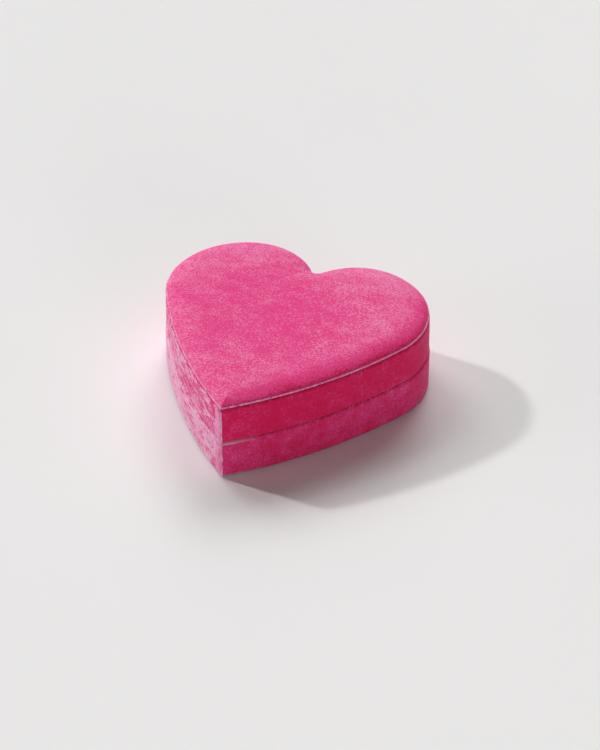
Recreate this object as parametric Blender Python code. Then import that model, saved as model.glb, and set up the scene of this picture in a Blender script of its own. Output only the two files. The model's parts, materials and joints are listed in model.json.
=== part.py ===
"""Heart-shaped trinket box: board walls wrapped in velvet, with a lift-off lid that fits over a collar.

The heart's tip points along -Y and its notch along +Y. X = 0 is the plane of symmetry and the box
stands on Z = 0. Every layer follows the same heart outline, moved in by that layer's inset.
"""

import math

import bmesh
import bpy
from mathutils import Vector

# The heart, measured over the base's velvet.
WIDTH = 0.130
LENGTH = 0.130
NOTCH_DEPTH = 0.0142
NOTCH_RADIUS = 0.0026
CROWN_RADIUS = 0.0319
CROWN_BLEND = math.radians(77)
SIDE_RADIUS = 0.232

# Heights of the two halves' walls, the base's from the table.
BASE_HEIGHT = 0.0193
LID_HEIGHT = 0.0187

# Gaps and fits.
TOUCH = 0.0003
SEAM_SLIT = 0.0003
LID_SETBACK = 0.0004
LID_CLEARANCE = 0.0004
LID_HEADROOM = 0.0010
TOP_SETBACK = 0.0008

# Thicknesses.
VELVET = 0.0007
SATIN = 0.0005
TAPE = 0.0004
UNDERSIDE_SHEET = 0.0007
BASE_BOARD = 0.0020
LID_WALL_BOARD = 0.0018
COLLAR_BOARD = 0.0012
TOP_CARD = 0.0009
FLOOR_CARD = 0.0012
CEILING_CARD = 0.0010
LINING_CARD = 0.0008

# Padded panels: wadding over the card, wadding at the edge, and the width of the rounded shoulder.
TOP_PADDING = 0.0016
TOP_PADDING_EDGE = 0.0002
TOP_SHOULDER = 0.0100
FLOOR_PADDING = 0.0022
FLOOR_PADDING_EDGE = 0.0008
FLOOR_SHOULDER = 0.0060
CEILING_PADDING = 0.0010
CEILING_PADDING_EDGE = 0.0006
CEILING_SHOULDER = 0.0050
CARD_MARGIN = 0.45  # how far under the shoulder the card's edge lies, as a share of its width

# How far cloth, card and tape reach.
BASE_TURN_IN = 0.0080
TURN_UNDER = 0.0090
UNDERSIDE_INSET = 0.0025
COLLAR_RISE = 0.0080
COLLAR_SKIRT = 0.0050
TAPE_REACH = 0.0110
FOLD = 0.0006

# Straight steps along each arc of half the outline, and over a padded shoulder.
SIDE_STEPS = 4
LOBE_STEPS = 8
CROWN_STEPS = 5
NOTCH_STEPS = 3
SHOULDER_STEPS = 3

# Insets of the walls' layers. The base's board fills the room between its velvet and the collar's.
BOARD_OUT = VELVET + TOUCH
LID_BOARD_IN = LID_SETBACK + BOARD_OUT + LID_WALL_BOARD
COLLAR_OUT = LID_BOARD_IN + TOUCH + VELVET + LID_CLEARANCE
BASE_BOARD_IN = COLLAR_OUT - TOUCH - VELVET - TOUCH
COLLAR_BOARD_OUT = COLLAR_OUT + SATIN + TOUCH
COLLAR_BOARD_IN = COLLAR_BOARD_OUT + COLLAR_BOARD
COLLAR_IN = COLLAR_BOARD_IN + TOUCH + SATIN
LINING_OUT = LID_BOARD_IN + TOUCH
LINING_CARD_IN = LINING_OUT + LINING_CARD
LINING_IN = LINING_CARD_IN + TOUCH + SATIN

# Heights above the table.
TURN_UNDER_BOTTOM = UNDERSIDE_SHEET + TOUCH
BASE_BOARD_BOTTOM = TURN_UNDER_BOTTOM + VELVET + TOUCH
BASE_INSIDE = BASE_BOARD_BOTTOM + BASE_BOARD + TOUCH
LID_BOTTOM = BASE_HEIGHT + TOUCH
LID_TURN_IN = COLLAR_RISE + LID_HEADROOM
LINING_BOTTOM = LID_BOTTOM + LID_TURN_IN + TOUCH
WALL_TOP = LID_BOTTOM + LID_HEIGHT
TOP_PANEL_BOTTOM = WALL_TOP + TOUCH

# Base colour and roughness.
FINISHES = {
    "velvet": ((0.72, 0.09, 0.30), 0.90),
    "satin": ((0.80, 0.38, 0.47), 0.40),
    "board": ((0.42, 0.39, 0.35), 0.85),
    "wadding": ((0.85, 0.84, 0.80), 0.95),
    "tape": ((0.50, 0.33, 0.18), 0.60),
    "felt": ((0.55, 0.07, 0.22), 0.95),
}


def direction(angle):
    return Vector((math.cos(angle), math.sin(angle)))


def angle_of(vector):
    return math.atan2(vector.y, vector.x)


def heart_centres():
    """Centres of the side, lobe, crown and notch arcs of the +X half, and the lobe's radius."""
    reach = CROWN_RADIUS + NOTCH_RADIUS
    crown = Vector((math.sqrt(NOTCH_DEPTH * (2 * reach - NOTCH_DEPTH)), LENGTH / 2 - CROWN_RADIUS))
    notch = Vector((0, LENGTH / 2 - NOTCH_DEPTH + NOTCH_RADIUS))
    blend = direction(CROWN_BLEND)
    lobe_radius = (WIDTH / 2 - crown.x - CROWN_RADIUS * blend.x) / (1 - blend.x)
    lobe = crown - (lobe_radius - CROWN_RADIUS) * blend
    # The side arc starts at the tip and runs smoothly into the lobe arc.
    tip = Vector((0, -LENGTH / 2))
    to_lobe = lobe - tip
    inner = SIDE_RADIUS - lobe_radius
    along = (SIDE_RADIUS**2 - inner**2 + to_lobe.length_squared) / (2 * to_lobe.length)
    across = math.sqrt(SIDE_RADIUS**2 - along**2)
    unit = to_lobe.normalized()
    side = tip + along * unit + across * Vector((-unit.y, unit.x))
    return side, lobe, crown, notch, lobe_radius


SIDE, LOBE, CROWN, NOTCH, LOBE_RADIUS = heart_centres()


def arc(centre, radius, start, end, steps):
    """Points from just after the angle start up to the angle end."""
    turns = [start + (end - start) * step / steps for step in range(1, steps + 1)]
    return [centre + radius * direction(turn) for turn in turns]


def heart(inset, slit=0.0):
    """The heart outline moved in by inset, anticlockwise from the tip.

    With a slit it is open at the tip: its ends stop half the slit each side of X = 0.
    """
    side_radius = SIDE_RADIUS - inset
    tip_y = SIDE.y - math.sqrt(side_radius**2 - (slit / 2 - SIDE.x) ** 2)
    start = Vector((slit / 2, tip_y))
    blend = angle_of(LOBE - SIDE)
    meets_notch = angle_of(NOTCH - CROWN)
    half = [start]
    half += arc(SIDE, side_radius, angle_of(start - SIDE), blend, SIDE_STEPS)
    half += arc(LOBE, LOBE_RADIUS - inset, blend, CROWN_BLEND, LOBE_STEPS)
    half += arc(CROWN, CROWN_RADIUS - inset, CROWN_BLEND, meets_notch, CROWN_STEPS)
    half += arc(NOTCH, NOTCH_RADIUS + inset, meets_notch - math.pi, -math.pi / 2, NOTCH_STEPS)
    mirrored = [Vector((-point.x, point.y)) for point in reversed(half[:-1])]
    return half + (mirrored if slit else mirrored[:-1])


def place(name, data, half, bottom, finish):
    """Puts a piece in the base or the lid, with its own Z = 0 at height bottom above the table."""
    colour, roughness = FINISHES[finish]
    material = bpy.data.materials.new(name)
    material.use_nodes = True
    shader = material.node_tree.nodes["Principled BSDF"]
    shader.inputs["Base Color"].default_value = (*colour, 1)
    shader.inputs["Roughness"].default_value = roughness
    shader.inputs["Metallic"].default_value = 0
    data.materials.append(material)
    piece = bpy.data.objects.new(name, data)
    piece.parent = half
    piece.location.z = bottom - half.location.z
    bpy.data.collections["heart_trinket_box"].objects.link(piece)


def flat_piece(name, outline, thickness, half, bottom, finish):
    """A flat piece of board, card, tape or cloth, or a strip of one bent round on its edge."""
    curve = bpy.data.curves.new(name, "CURVE")
    curve.dimensions = "2D"
    curve.fill_mode = "BOTH"
    curve.extrude = thickness / 2
    spline = curve.splines.new("POLY")
    spline.points.add(len(outline) - 1)
    for point, corner in zip(spline.points, outline):
        point.co = (corner.x, corner.y, 0, 1)
    spline.use_cyclic_u = True
    place(name, curve, half, bottom + thickness / 2, finish)


def split_band(outer, inner):
    """Outline of a strip of board bent round the heart, its two ends meeting at the tip."""
    return heart(outer, SEAM_SLIT) + heart(inner, SEAM_SLIT)[::-1]


def tip_tape(outer, inner):
    """Outline of gummed tape folded round the tip, over the joint between a strip's two ends."""
    right = []
    for inset in (outer, inner):
        tip, corner = heart(inset)[:2]
        right += [tip, tip + TAPE_REACH * (corner - tip).normalized()]
    outer_tip, outer_end, inner_tip, inner_end = right
    left = [Vector((-point.x, point.y)) for point in (inner_end, outer_end)]
    return [outer_tip, outer_end, inner_end, inner_tip, *left]


def loft(name, stations, half, bottom, finish, slit=0.0, ring=False):
    """A piece through heart outlines. A station is an outline's inset and height above bottom.

    A ring's last station joins its first, for a band. Otherwise both end outlines are filled.
    """
    shape = bmesh.new()
    rows = [
        [shape.verts.new((*corner, level)) for corner in heart(inset, slit)]
        for inset, level in stations
    ]
    count = len(rows[0])
    for row, following in zip(rows, rows[1:] + rows[:1] if ring else rows[1:]):
        for here in range(count - 1 if slit else count):
            there = (here + 1) % count
            shape.faces.new((row[here], row[there], following[there], following[here]))
    if not ring:
        shape.faces.new(rows[0])
        shape.faces.new(rows[-1])
    elif slit:
        shape.faces.new([row[0] for row in rows])
        shape.faces.new([row[-1] for row in rows])
    bmesh.ops.recalc_face_normals(shape, faces=shape.faces)
    mesh = bpy.data.meshes.new(name)
    shape.to_mesh(mesh)
    shape.free()
    mesh.shade_smooth()
    mesh.set_sharp_from_angle(angle=math.radians(35))
    place(name, mesh, half, bottom, finish)


def turned_over(stations, height):
    """The same stations upside down, so that level 0 comes to height."""
    return [(inset, height - level) for inset, level in stations]


def wall_cloth(face, board_in, turn_in, height, turn_over):
    """Stations of a wall's velvet with its rim at level 0.

    It is turned in behind the rim against the board's inner face, and turned over at height.
    """
    inner = board_in + TOUCH + VELVET
    return [
        (inner - VELVET, turn_in),
        (inner, turn_in),
        (inner, FOLD),
        (inner - FOLD, 0),
        (face + FOLD, 0),
        (face, FOLD),
        (face, height - FOLD),
        (face + FOLD, height),
        (face + turn_over, height),
        (face + turn_over, height - VELVET),
        (face + VELVET, height - VELVET),
        (face + VELVET, VELVET),
        (inner - VELVET, VELVET),
    ]


def shoulder(inset, width, low, high, depth=0.0):
    """Stations rounding a pad's edge from (inset, low) over to (inset + width, high), less depth."""
    stations = []
    for step in range(SHOULDER_STEPS + 1):
        turn = math.pi / 2 * step / SHOULDER_STEPS
        inward = Vector((math.cos(turn) / width, -math.sin(turn) / (high - low))).normalized()
        surface = Vector((inset + width * (1 - math.cos(turn)), low + (high - low) * math.sin(turn)))
        stations.append(tuple(surface + depth * inward))
    return stations


def padded_panel(outer, cloth, card, padding, edge, width):
    """A padded panel that faces up from level 0: the card's inset, and wadding and cover stations.

    The wadding is drawn over the card and its edge, and the cover over both and under the card.
    """
    under = cloth + TOUCH
    card_inset = outer + CARD_MARGIN * width
    card_top = under + card
    rim = under + edge
    top = card_top + TOUCH + padding + TOUCH + cloth
    wadding = [
        (card_inset - TOUCH, card_top + TOUCH),
        (card_inset - TOUCH, under),
        (outer + under, under),
        *shoulder(outer, width, rim, top, under),
    ]
    cover = [
        *reversed(shoulder(outer, width, rim, top, cloth)),
        (outer + cloth, cloth),
        (outer + TURN_UNDER, cloth),
        (outer + TURN_UNDER, 0),
        (outer, 0),
        *shoulder(outer, width, rim, top),
    ]
    return card_inset, wadding, cover


def build_base_shell(base):
    flat_piece("underside_sheet", heart(UNDERSIDE_INSET), UNDERSIDE_SHEET, base, 0, "felt")
    flat_piece("base_board", heart(BOARD_OUT), BASE_BOARD, base, BASE_BOARD_BOTTOM, "board")
    height = BASE_HEIGHT - TURN_UNDER_BOTTOM
    cloth = turned_over(wall_cloth(0, BASE_BOARD_IN, BASE_TURN_IN, height, TURN_UNDER), height)
    loft("base_wall_velvet", cloth, base, TURN_UNDER_BOTTOM, "velvet", SEAM_SLIT, ring=True)
    wall = split_band(BOARD_OUT, BASE_BOARD_IN)
    wall_height = BASE_HEIGHT - VELVET - TOUCH - BASE_INSIDE
    flat_piece("base_wall_board", wall, wall_height, base, BASE_INSIDE, "board")
    tape = tip_tape(BASE_BOARD_IN + TOUCH, BASE_BOARD_IN + TOUCH + TAPE)
    tape_height = BASE_HEIGHT - BASE_TURN_IN - TOUCH - BASE_INSIDE
    flat_piece("base_tip_tape", tape, tape_height, base, BASE_INSIDE, "tape")


def build_collar(base):
    top = BASE_HEIGHT + COLLAR_RISE - BASE_INSIDE
    skirt = BASE_HEIGHT - COLLAR_SKIRT - BASE_INSIDE
    band = split_band(COLLAR_BOARD_OUT, COLLAR_BOARD_IN)
    flat_piece("collar_board", band, top - SATIN - TOUCH, base, BASE_INSIDE, "board")
    tape = tip_tape(COLLAR_BOARD_OUT - TOUCH - TAPE, COLLAR_BOARD_OUT - TOUCH)
    flat_piece("collar_tip_tape", tape, skirt - TOUCH, base, BASE_INSIDE, "tape")
    satin = [
        (COLLAR_OUT, skirt),
        (COLLAR_OUT, top),
        (COLLAR_IN, top),
        (COLLAR_IN, 0),
        (COLLAR_IN - SATIN, 0),
        (COLLAR_IN - SATIN, top - SATIN),
        (COLLAR_OUT + SATIN, top - SATIN),
        (COLLAR_OUT + SATIN, skirt),
    ]
    loft("collar_satin", satin, base, BASE_INSIDE, "satin", SEAM_SLIT, ring=True)


def build_floor_pad(base):
    card_inset, wadding, cover = padded_panel(
        COLLAR_IN + TOUCH, VELVET, FLOOR_CARD, FLOOR_PADDING, FLOOR_PADDING_EDGE, FLOOR_SHOULDER
    )
    card_bottom = BASE_INSIDE + VELVET + TOUCH
    flat_piece("floor_card", heart(card_inset), FLOOR_CARD, base, card_bottom, "board")
    loft("floor_wadding", wadding, base, BASE_INSIDE, "wadding")
    loft("floor_velvet", cover, base, BASE_INSIDE, "velvet")


def build_lid_wall(lid):
    cloth = wall_cloth(LID_SETBACK, LID_BOARD_IN, LID_TURN_IN, LID_HEIGHT, LID_BOARD_IN - LID_SETBACK)
    loft("lid_wall_velvet", cloth, lid, LID_BOTTOM, "velvet", SEAM_SLIT, ring=True)
    wall = split_band(LID_SETBACK + BOARD_OUT, LID_BOARD_IN)
    wall_bottom = LID_BOTTOM + VELVET + TOUCH
    wall_height = LID_HEIGHT - 2 * (VELVET + TOUCH)
    flat_piece("lid_wall_board", wall, wall_height, lid, wall_bottom, "board")


def build_lid_lining(lid):
    height = WALL_TOP - LINING_BOTTOM
    card_bottom = SATIN + TOUCH
    card = [
        (LINING_OUT, card_bottom),
        (LINING_CARD_IN, card_bottom),
        (LINING_CARD_IN, height),
        (LINING_OUT, height),
    ]
    loft("lining_card", card, lid, LINING_BOTTOM, "board", ring=True)
    satin = [
        (LINING_OUT, 0),
        (LINING_IN, 0),
        (LINING_IN, height),
        (LINING_IN - SATIN, height),
        (LINING_IN - SATIN, SATIN),
        (LINING_OUT, SATIN),
    ]
    loft("lining_satin", satin, lid, LINING_BOTTOM, "satin", ring=True)


def build_ceiling_pad(lid):
    card_inset, wadding, cover = padded_panel(
        LINING_IN + TOUCH,
        SATIN,
        CEILING_CARD,
        CEILING_PADDING,
        CEILING_PADDING_EDGE,
        CEILING_SHOULDER,
    )
    card_bottom = WALL_TOP - SATIN - TOUCH - CEILING_CARD
    flat_piece("ceiling_card", heart(card_inset), CEILING_CARD, lid, card_bottom, "board")
    loft("ceiling_wadding", turned_over(wadding, 0), lid, WALL_TOP, "wadding")
    loft("ceiling_satin", turned_over(cover, 0), lid, WALL_TOP, "satin")


def build_top_panel(lid):
    card_inset, wadding, cover = padded_panel(
        LID_SETBACK + TOP_SETBACK, VELVET, TOP_CARD, TOP_PADDING, TOP_PADDING_EDGE, TOP_SHOULDER
    )
    card_bottom = TOP_PANEL_BOTTOM + VELVET + TOUCH
    flat_piece("top_card", heart(card_inset), TOP_CARD, lid, card_bottom, "board")
    loft("top_wadding", wadding, lid, TOP_PANEL_BOTTOM, "wadding")
    loft("top_velvet", cover, lid, TOP_PANEL_BOTTOM, "velvet")


def main():
    for old in list(bpy.data.objects):
        bpy.data.objects.remove(old)
    collection = bpy.data.collections.new("heart_trinket_box")
    bpy.context.scene.collection.children.link(collection)
    base = bpy.data.objects.new("base", None)
    lid = bpy.data.objects.new("lid", None)
    lid.location.z = LID_BOTTOM
    collection.objects.link(base)
    collection.objects.link(lid)
    build_base_shell(base)
    build_collar(base)
    build_floor_pad(base)
    build_lid_wall(lid)
    build_lid_lining(lid)
    build_ceiling_pad(lid)
    build_top_panel(lid)


main()
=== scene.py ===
"""Looks of a heart-shaped trinket box: padded velvet lid, wrapped walls, satin inside, plain stage.

Lengths are in metres. The heart's tip points along -Y, its notch along +Y, and it stands on Z = 0.
"""

import json
import math

import bmesh
import bpy
from bpy.props import FloatProperty, FloatVectorProperty, PointerProperty
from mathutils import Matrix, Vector, noise
from mathutils.geometry import delaunay_2d_cdt


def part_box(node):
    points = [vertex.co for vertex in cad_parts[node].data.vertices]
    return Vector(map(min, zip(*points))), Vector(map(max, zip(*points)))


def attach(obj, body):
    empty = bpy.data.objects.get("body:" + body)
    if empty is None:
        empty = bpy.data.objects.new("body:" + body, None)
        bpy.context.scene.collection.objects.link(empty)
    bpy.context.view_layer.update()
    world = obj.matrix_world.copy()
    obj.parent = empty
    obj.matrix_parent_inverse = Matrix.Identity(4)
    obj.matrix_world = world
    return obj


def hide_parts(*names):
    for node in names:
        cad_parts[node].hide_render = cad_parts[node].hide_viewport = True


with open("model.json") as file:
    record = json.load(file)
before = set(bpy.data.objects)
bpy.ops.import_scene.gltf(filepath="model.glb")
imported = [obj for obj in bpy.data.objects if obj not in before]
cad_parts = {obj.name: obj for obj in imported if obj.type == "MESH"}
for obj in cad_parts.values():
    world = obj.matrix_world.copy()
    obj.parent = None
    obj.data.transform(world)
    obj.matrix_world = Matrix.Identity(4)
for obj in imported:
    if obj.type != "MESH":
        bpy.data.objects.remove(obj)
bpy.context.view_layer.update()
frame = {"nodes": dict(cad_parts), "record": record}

bl_info = {
    "name": "Heart trinket box",
    "version": (1, 0, 0),
    "blender": (4, 5, 0),
    "location": "View3D > Sidebar > Heart box",
    "description": "Builds the visible pieces, finishes and stage of a velvet heart box",
    "category": "Add Mesh",
}


def extent(node, axis):
    """Length of a CAD node along an axis."""
    low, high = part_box(node)
    return high[axis] - low[axis]


def depth_of(node):
    """How far a CAD node's outline lies inside the base's outer face."""
    return (extent("base_wall_velvet", 0) - extent(node, 0)) / 2


def levels(node):
    """Bottom and top height of a CAD node."""
    low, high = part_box(node)
    return low.z, high.z


# --- Sizes and colours ---


def length_property(name, description, default):
    return FloatProperty(
        name=name,
        description=description,
        default=default,
        min=0.0,
        unit="LENGTH",
        subtype="DISTANCE",
        precision=5,
    )


def colour_property(name, description, default):
    return FloatVectorProperty(
        name=name,
        description=description,
        default=default,
        size=3,
        min=0.0,
        max=1.0,
        subtype="COLOR",
    )


class HeartBoxSizes(bpy.types.PropertyGroup):
    """Lengths of the heart, its cloths and its pads"""

    width: length_property("Width", "Width over the base's velvet", extent("base_wall_velvet", 0))
    length: length_property("Length", "Tip to crown over the velvet", extent("base_wall_velvet", 1))
    notch_depth: length_property("Notch depth", "Crown to the bottom of the notch", 0.0142)
    notch_radius: length_property("Notch radius", "Radius of the notch's rounded bottom", 0.0026)
    crown_radius: length_property("Crown radius", "Radius of the heart's two upper arcs", 0.0319)
    side_radius: length_property("Side radius", "Radius of the long arcs that meet at the tip", 0.232)
    crown_blend: FloatProperty(
        name="Crown blend",
        description="Direction in which the crown's arc meets the lobe's",
        default=math.radians(77),
        subtype="ANGLE",
        unit="ROTATION",
    )
    tip_round: length_property("Tip rounding", "Radius of the cloth where it turns the tip", 0.0016)
    velvet: length_property("Velvet thickness", "Thickness of the velvet with its pile", 0.0007)
    satin: length_property("Satin thickness", "Thickness of the satin with its backing", 0.0005)
    fold: length_property("Fold radius", "Radius of the velvet's folds over a board's edge", 0.0011)
    turn_in: length_property("Turn-in", "How far the velvet turns in behind a wall's rim", 0.008)
    turn_under: length_property("Turn-under", "How far the velvet turns under the base", 0.009)
    collar_skirt: length_property("Collar skirt", "How far the satin hangs below the base's rim", 0.005)
    top_shoulder: length_property("Lid pad's shoulder", "Width of its rounded edge", 0.0108)
    inner_shoulder: length_property("Inner pads' shoulder", "Width of their rounded edges", 0.0055)
    swell: length_property("Swell", "Most that an inside pad's cloth may rise", 0.0004)
    lid_swell: length_property("Lid swell", "Most that the lid pad's cloth may rise", 0.00016)
    rib_pitch: length_property("Rib pitch", "Spacing of the ribs in the lid's edge fold", 0.00078)


class HeartBoxColours(bpy.types.PropertyGroup):
    """Colours of the cloths, the boards and the stage"""

    pile_deep: colour_property("Deep pile", "Velvet seen down into the pile", (0.72, 0.010, 0.088))
    pile: colour_property("Pile", "Velvet lying flat", (0.81, 0.055, 0.243))
    pile_pale: colour_property("Crushed pile", "Fibres that lie on their sides", (0.87, 0.27, 0.48))
    crushed_pale: colour_property("Wall streaks", "Velvet crushed hard on the walls", (0.90, 0.50, 0.68))
    # Worn fold colour, partly a painted highlight where light catches the folded edges.
    fold_pale_and_highlight: colour_property("Worn fold", "Backing that shows along the folds", (0.86, 0.50, 0.66))
    satin: colour_property("Satin", "Lining of the collar and lid", (0.76, 0.28, 0.40))
    board: colour_property("Greyboard", "Recycled board of walls and panels", (0.42, 0.39, 0.35))
    tape: colour_property("Gummed tape", "Kraft tape over the board's joints", (0.50, 0.33, 0.18))
    felt: colour_property("Felt", "Sheet under the base", (0.30, 0.035, 0.12))
    floor: colour_property("Floor", "Matt pale sweep that the box stands on", (0.86, 0.855, 0.855))


# --- The heart's outline ---


def direction(angle):
    return Vector((math.cos(angle), math.sin(angle)))


def angle_of(vector):
    return math.atan2(vector.y, vector.x)


SHARPEST_TIP = 0.00015


class Heart:
    """The smooth heart outline, as arcs round five centres on its +X half."""

    def __init__(self, sizes):
        self.side_radius = sizes.side_radius
        self.crown_radius = sizes.crown_radius
        self.notch_radius = sizes.notch_radius
        self.tip_round = sizes.tip_round
        self.blend = sizes.crown_blend
        reach = sizes.crown_radius + sizes.notch_radius
        depth = sizes.notch_depth
        self.crown = Vector((math.sqrt(depth * (2 * reach - depth)), sizes.length / 2 - self.crown_radius))
        self.notch = Vector((0, sizes.length / 2 - depth + self.notch_radius))
        turn = direction(self.blend)
        room = sizes.width / 2 - self.crown.x - self.crown_radius * turn.x
        self.lobe_radius = room / (1 - turn.x)
        self.lobe = self.crown - (self.lobe_radius - self.crown_radius) * turn
        tip = Vector((0, -sizes.length / 2))
        to_lobe = self.lobe - tip
        inner = self.side_radius - self.lobe_radius
        along = (self.side_radius**2 - inner**2 + to_lobe.length_squared) / (2 * to_lobe.length)
        across = math.sqrt(self.side_radius**2 - along**2)
        unit = to_lobe.normalized()
        self.side = tip + along * unit + across * Vector((-unit.y, unit.x))

    def arcs(self, inset):
        """Centre, radius, start and end angle, side that bulges and pace of each arc of the +X half.

        The pace is the radius by which an arc's turn is counted as a walk, the same for every inset.
        """
        tip_radius = max(self.tip_round - inset, SHARPEST_TIP)
        fall = (self.side_radius - inset - tip_radius) ** 2 - self.side.x**2
        tip = Vector((0, self.side.y - math.sqrt(fall)))
        leaves_tip = angle_of(tip - self.side)
        joins_lobe = angle_of(self.lobe - self.side)
        joins_notch = angle_of(self.notch - self.crown)
        return (
            (tip, tip_radius, -math.pi / 2, leaves_tip, 1, 0.0035),
            (self.side, self.side_radius - inset, leaves_tip, joins_lobe, 1, self.side_radius),
            (self.lobe, self.lobe_radius - inset, joins_lobe, self.blend, 1, self.lobe_radius),
            (self.crown, self.crown_radius - inset, self.blend, joins_notch, 1, self.crown_radius),
            (self.notch, self.notch_radius + inset, joins_notch - math.pi, -math.pi / 2, -1, 0.007),
        )

    def half(self, inset, spacing):
        """Points, outward normals and the walk from the tip, for the +X half moved in by inset."""
        points, normals, walk = [], [], []
        for arc, outer in zip(self.arcs(inset), self.arcs(0.0)):
            centre, radius, start, end, bulge, pace = arc
            steps = max(3, math.ceil(abs(outer[3] - outer[2]) * pace / spacing))
            stride = abs(outer[3] - outer[2]) * pace / steps
            for step in range(0 if not points else 1, steps + 1):
                turn = start + (end - start) * step / steps
                points.append(centre + radius * direction(turn))
                normals.append(bulge * direction(turn))
                walk.append(walk[-1] + stride if walk else 0.0)
        return points, normals, walk

    def outline(self, inset, spacing):
        """The whole outline, anticlockwise from the tip, as (point, outward normal, walk) each."""
        points, normals, walk = self.half(inset, spacing)
        right = list(zip(points, normals, walk))
        left = [(mirrored(point), mirrored(normal), far) for point, normal, far in right[-2:0:-1]]
        return right + left

    def place_at(self, walk, lift):
        """The point lift outside the face, and its normal. A walk below 0 goes up the -X side."""
        points, normals, walks = self.half(0.0, 0.0008)
        far = abs(walk)
        index = max(step for step in range(len(walks) - 1) if walks[step] <= far or step == 0)
        share = (far - walks[index]) / (walks[index + 1] - walks[index])
        point = points[index].lerp(points[index + 1], share)
        normal = normals[index].lerp(normals[index + 1], share).normalized()
        point = point + normal * lift
        if walk < 0:
            return mirrored(point), mirrored(normal)
        return point, normal

    def perimeter(self, inset):
        points = [entry[0] for entry in self.outline(inset, 0.001)]
        return sum((points[index] - points[index - 1]).length for index in range(len(points)))

    def area(self, inset):
        points = [entry[0] for entry in self.outline(inset, 0.001)]
        return abs(sum(points[i - 1].cross(points[i]) for i in range(len(points)))) / 2


def mirrored(vector):
    return Vector((-vector.x, vector.y))


# --- Mesh helpers ---


def unevenness(place, size, seed=0.0):
    """Smooth seeded waviness from -1 to 1 at a point, with bumps of about that size."""
    return noise.noise(Vector(place) / size + Vector((seed, 3.7 * seed, 1.3)))


def make_piece(name, vertices, faces, material, lay=None):
    """A mesh piece. lay gives each vertex's place along and across its cloth."""
    mesh = bpy.data.meshes.new(name)
    mesh.from_pydata([tuple(vertex) for vertex in vertices], [], faces)
    mesh.validate()
    shape = bmesh.new()
    shape.from_mesh(mesh)
    bmesh.ops.recalc_face_normals(shape, faces=shape.faces)
    shape.to_mesh(mesh)
    shape.free()
    if lay is not None:
        attribute = mesh.attributes.new("lay", "FLOAT_VECTOR", "POINT")
        attribute.data.foreach_set("vector", [number for place in lay for number in place])
    mesh.shade_smooth()
    mesh.materials.append(material)
    piece = bpy.data.objects.new(name, mesh)
    bpy.context.scene.collection.objects.link(piece)
    return piece


def rounded_path(corners, radius, steps, spacing):
    """An open path with its inner corners rounded and its straight stretches cut up."""
    path = [Vector(corners[0])]
    for before, corner, after in zip(corners, corners[1:], corners[2:]):
        corner = Vector(corner)
        back = (Vector(before) - corner).normalized()
        ahead = (Vector(after) - corner).normalized()
        for step in range(steps + 1):
            share = step / steps
            path.append(corner + back * radius * (1 - share) ** 2 + ahead * radius * share**2)
    path.append(Vector(corners[-1]))
    fine = [path[0]]
    for start, end in zip(path, path[1:]):
        cuts = max(1, math.ceil((end - start).length / spacing))
        fine += [start.lerp(end, cut / cuts) for cut in range(1, cuts + 1)]
    return fine


def cloth_section(corners, thickness, radius):
    """Both faces of a cloth along a path of (inset, height), each with how far along it lies."""
    path = rounded_path(corners, radius, 5, 0.0016)
    travelled = 0.0
    first, second = [], []
    for index, point in enumerate(path):
        before = path[max(index - 1, 0)]
        after = path[min(index + 1, len(path) - 1)]
        heading = (after - before).normalized()
        across = Vector((-heading.y, heading.x)) * thickness / 2
        if index:
            travelled += (point - before).length
        first.append((point + across, travelled))
        second.append((point - across, travelled))
    return first + second[::-1]


BAND_SPACING = 0.0018  # between points along a band of cloth
PAD_SPACING = 0.0019  # between points of a pad
JUST_ABOVE = 1.01  # a pad's points up to this many times its rim's height are held


def closed_grid(rows, columns):
    """Quads over a grid of points that closes on itself both ways."""
    faces = []
    for row in range(rows):
        here, there = row * columns, (row + 1) % rows * columns
        for column in range(columns):
            beside = (column + 1) % columns
            faces.append((here + column, here + beside, there + beside, there + column))
    return faces


def wrap_round(name, heart, section, material, waves):
    """A closed band of cloth round the heart with that section, whose face ripples by waves."""
    rings = [heart.outline(place.x, BAND_SPACING) for place, _ in section]
    count = len(rings[0])
    vertices, lay = [], []
    for (place, travelled), ring in zip(section, rings):
        for point, normal, walk in ring:
            spot = Vector((point.x, point.y, place.y))
            ripple = 0.6 * unevenness(spot, 0.017, 2.0) + 0.4 * unevenness(spot, 0.006, 5.0)
            out = waves * max(0.0, 0.4 + ripple)
            vertices.append(spot + Vector((normal.x, normal.y, 0)) * out)
            lay.append((walk, travelled, point.x))
    return make_piece(name, vertices, closed_grid(len(section), count), material, lay)


def fill_inside(ring, spacing):
    """Triangles that fill a ring of points, through a staggered grid of points inside it."""
    edges = [(index, (index + 1) % len(ring)) for index in range(len(ring))]
    low_x = min(point.x for point in ring)
    high_x = max(point.x for point in ring)
    low_y = min(point.y for point in ring)
    high_y = max(point.y for point in ring)
    inside = []
    row = 0
    y = low_y
    while y < high_y:
        x = low_x + (spacing / 2 if row % 2 else 0.0)
        while x < high_x:
            spot = Vector((x, y))
            if encloses(ring, spot) and min((spot - point).length for point in ring) > 0.55 * spacing:
                inside.append(spot)
            x += spacing
        y += spacing * 0.866
        row += 1
    made = delaunay_2d_cdt([*ring, *inside], edges, [], 1, 1e-7)
    return made[0], made[2], [origin[0] if origin else -1 for origin in made[3]]


def encloses(ring, spot):
    odd = False
    for index, point in enumerate(ring):
        other = ring[index - 1]
        if (point.y > spot.y) != (other.y > spot.y):
            crossing = other.x + (spot.y - other.y) * (point.x - other.x) / (point.y - other.y)
            odd ^= spot.x < crossing
    return odd


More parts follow.
